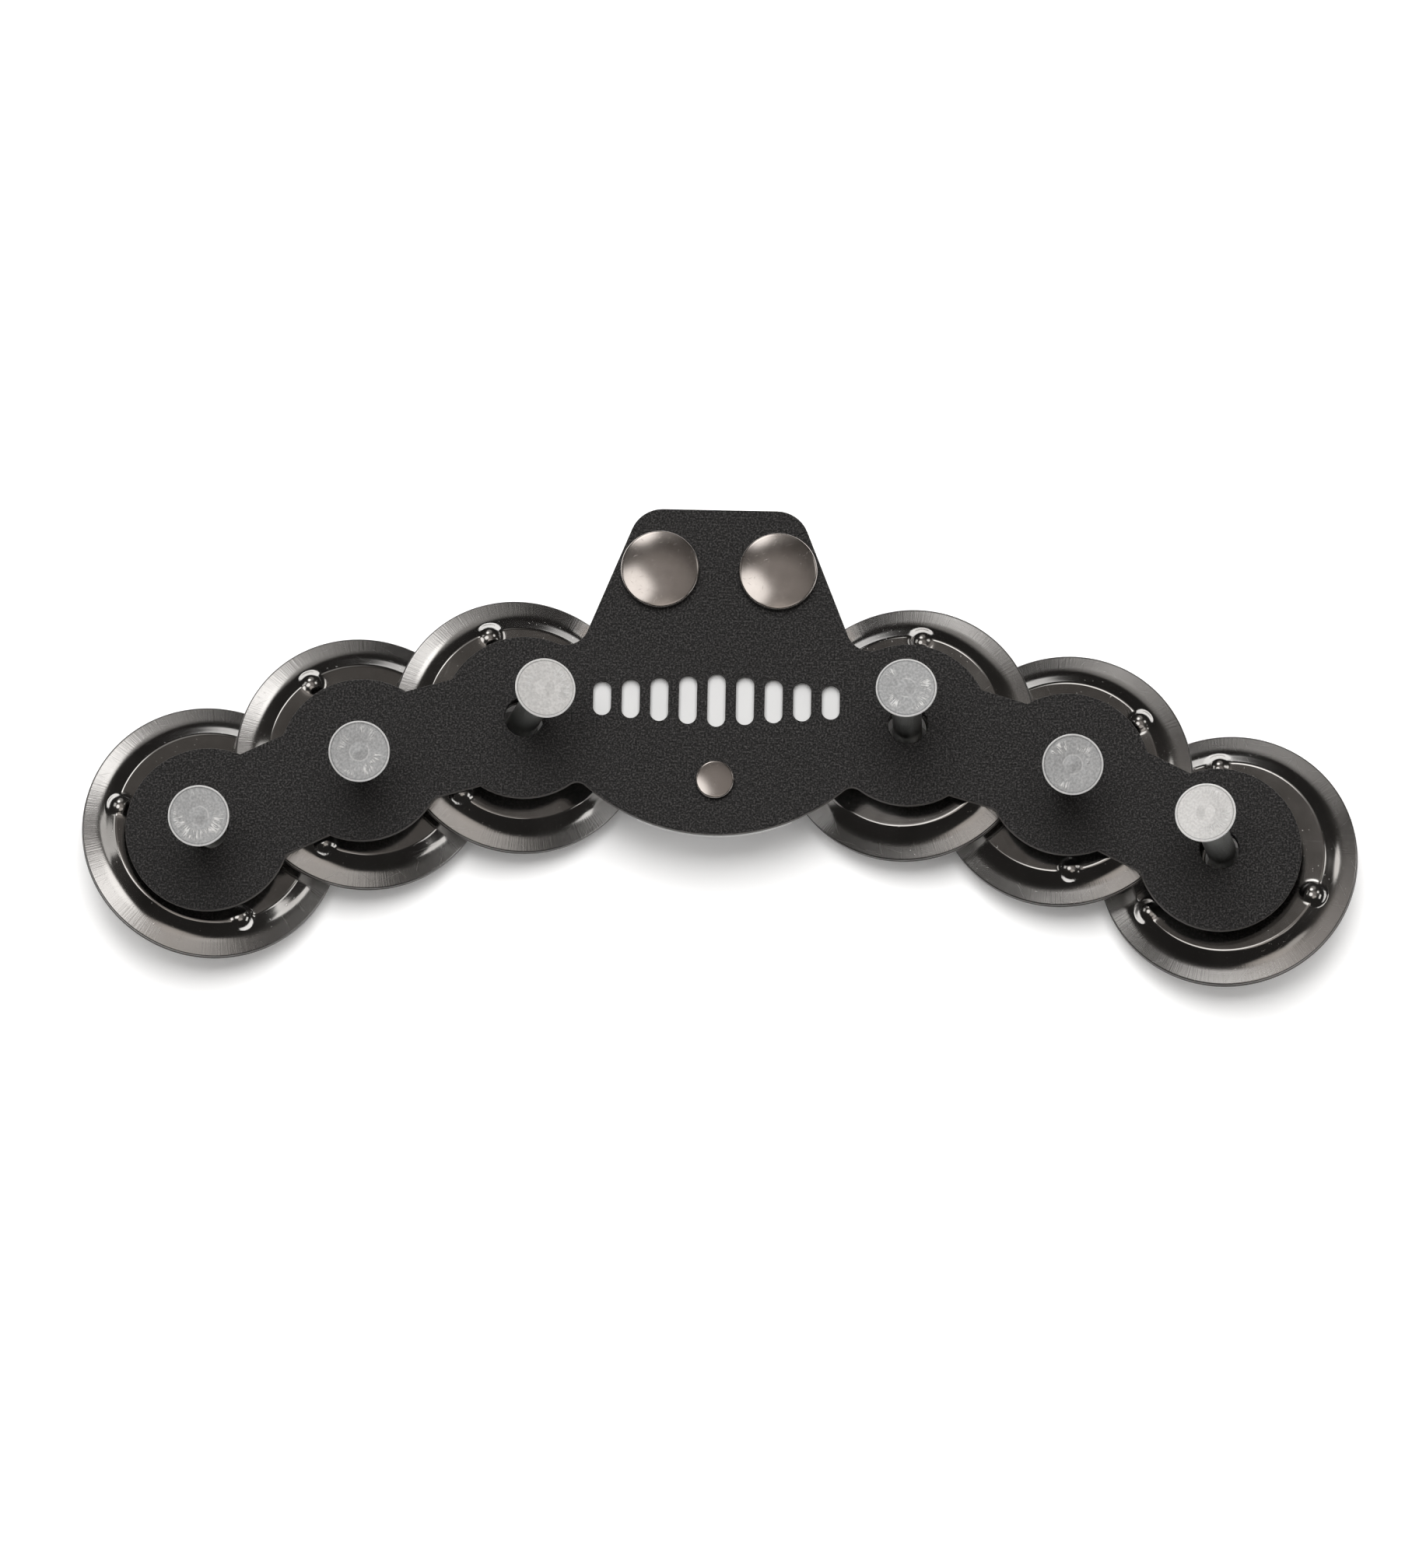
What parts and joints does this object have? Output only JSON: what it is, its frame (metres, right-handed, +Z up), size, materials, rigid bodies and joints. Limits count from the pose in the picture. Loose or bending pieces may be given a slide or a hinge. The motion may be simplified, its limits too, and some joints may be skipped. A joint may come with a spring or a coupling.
{
  "type": "jingle shaker",
  "caption": "Flat arched hand shaker: loose pins through an oversize-hole plate carry overlapping pairs of stamped jingles; a tab has press studs for a strap.",
  "frame": {"origin": "on the table under the middle of the part's outline, with the part lying face up", "axes": "+X along the part's length to the right, +Y toward the tab, +Z up out of the front face"},
  "size_m": [0.2126, 0.078, 0.0331],
  "materials": {
    "plate": "fine textured black sheet",
    "panel": "smooth white sheet",
    "nickel": "polished nickel plate",
    "steel": "bright spring wire",
    "zinc": "zinc plate with turning marks",
    "jingle": "polished stamped steel with fine scratches"
  },
  "bodies": {
    "plate": {"front_plate": "plate", "backing_panel": "panel", "left_stud_cap": "nickel", "right_stud_cap": "nickel", "left_stud_socket": "nickel", "right_stud_socket": "nickel", "left_socket_ring": "steel", "right_socket_ring": "steel", "rivet_cap": "nickel", "rivet_back": "nickel"},
    "pin_1": {"pin_1": "zinc", "pin_washer_1": "zinc"},
    "front_jingle_1": {"front_jingle_1": "jingle"},
    "rear_jingle_1": {"rear_jingle_1": "jingle"},
    "pin_2": {"pin_2": "zinc", "pin_washer_2": "zinc"},
    "front_jingle_2": {"front_jingle_2": "jingle"},
    "rear_jingle_2": {"rear_jingle_2": "jingle"},
    "pin_3": {"pin_3": "zinc", "pin_washer_3": "zinc"},
    "front_jingle_3": {"front_jingle_3": "jingle"},
    "rear_jingle_3": {"rear_jingle_3": "jingle"},
    "pin_4": {"pin_4": "zinc", "pin_washer_4": "zinc"},
    "front_jingle_4": {"front_jingle_4": "jingle"},
    "rear_jingle_4": {"rear_jingle_4": "jingle"},
    "pin_5": {"pin_5": "zinc", "pin_washer_5": "zinc"},
    "front_jingle_5": {"front_jingle_5": "jingle"},
    "rear_jingle_5": {"rear_jingle_5": "jingle"},
    "pin_6": {"pin_6": "zinc", "pin_washer_6": "zinc"},
    "front_jingle_6": {"front_jingle_6": "jingle"},
    "rear_jingle_6": {"rear_jingle_6": "jingle"}
  },
  "joints": [
    {"name": "pin_1_slide", "type": "slide", "parent": "plate", "child": "pin_1", "axis": [-0.0057, -0.0797, 0.9968], "range_m": [-0.0145, 0]},
    {"name": "jingle_1_spin", "type": "hinge", "parent": "plate", "child": "front_jingle_1", "pos_m": [-0.08434, -0.01569, 0.00828], "axis": [0.1814, 0.1087, 0.9774], "continuous": true},
    {"name": "jingle_1_clap", "type": "slide", "parent": "front_jingle_1", "child": "rear_jingle_1", "axis": [0.1814, 0.1087, 0.9774], "range_m": [-0.0003, 0.0001]},
    {"name": "pin_2_slide", "type": "slide", "parent": "plate", "child": "pin_2", "axis": [0.017, -0.1191, 0.9927], "range_m": [-0.0145, 0]},
    {"name": "jingle_2_spin", "type": "hinge", "parent": "plate", "child": "front_jingle_2", "pos_m": [-0.0593, -0.00364, 0.00828], "axis": [0.1973, 0.0761, 0.9774], "continuous": true},
    {"name": "jingle_2_clap", "type": "slide", "parent": "front_jingle_2", "child": "rear_jingle_2", "axis": [0.1973, 0.0761, 0.9774], "range_m": [-0.0003, 0.0001]},
    {"name": "pin_3_slide", "type": "slide", "parent": "plate", "child": "pin_3", "axis": [0.1904, 0.0616, 0.9798], "range_m": [-0.0145, 0]},
    {"name": "jingle_3_spin", "type": "hinge", "parent": "plate", "child": "front_jingle_3", "pos_m": [-0.03328, 0.0031, 0.00828], "axis": [0.2074, 0.0414, 0.9774], "continuous": true},
    {"name": "jingle_3_clap", "type": "slide", "parent": "front_jingle_3", "child": "rear_jingle_3", "axis": [0.2074, 0.0414, 0.9774], "range_m": [-0.0003, 0.0001]},
    {"name": "pin_4_slide", "type": "slide", "parent": "plate", "child": "pin_4", "axis": [-0.0453, 0.119, 0.9919], "range_m": [-0.0145, 0]},
    {"name": "jingle_4_spin", "type": "hinge", "parent": "plate", "child": "front_jingle_4", "pos_m": [0.03058, 0.00305, 0.00828], "axis": [-0.2074, 0.0414, 0.9774], "continuous": true},
    {"name": "jingle_4_clap", "type": "slide", "parent": "front_jingle_4", "child": "rear_jingle_4", "axis": [-0.2074, 0.0414, 0.9774], "range_m": [-0.0003, 0.0001]},
    {"name": "pin_5_slide", "type": "slide", "parent": "plate", "child": "pin_5", "axis": [-0.0057, -0.1023, 0.9947], "range_m": [-0.0145, 0]},
    {"name": "jingle_5_spin", "type": "hinge", "parent": "plate", "child": "front_jingle_5", "pos_m": [0.05683, -0.00414, 0.00828], "axis": [-0.1973, 0.0761, 0.9774], "continuous": true},
    {"name": "jingle_5_clap", "type": "slide", "parent": "front_jingle_5", "child": "rear_jingle_5", "axis": [-0.1973, 0.0761, 0.9774], "range_m": [-0.0003, 0.0001]},
    {"name": "pin_6_slide", "type": "slide", "parent": "plate", "child": "pin_6", "axis": [-0.2156, 0.1327, 0.9674], "range_m": [-0.0145, 0]},
    {"name": "jingle_6_spin", "type": "hinge", "parent": "plate", "child": "front_jingle_6", "pos_m": [0.08434, -0.01707, 0.00828], "axis": [-0.1814, 0.1087, 0.9774], "continuous": true},
    {"name": "jingle_6_clap", "type": "slide", "parent": "front_jingle_6", "child": "rear_jingle_6", "axis": [-0.1814, 0.1087, 0.9774], "range_m": [-0.0003, 0.0001]}
  ]
}
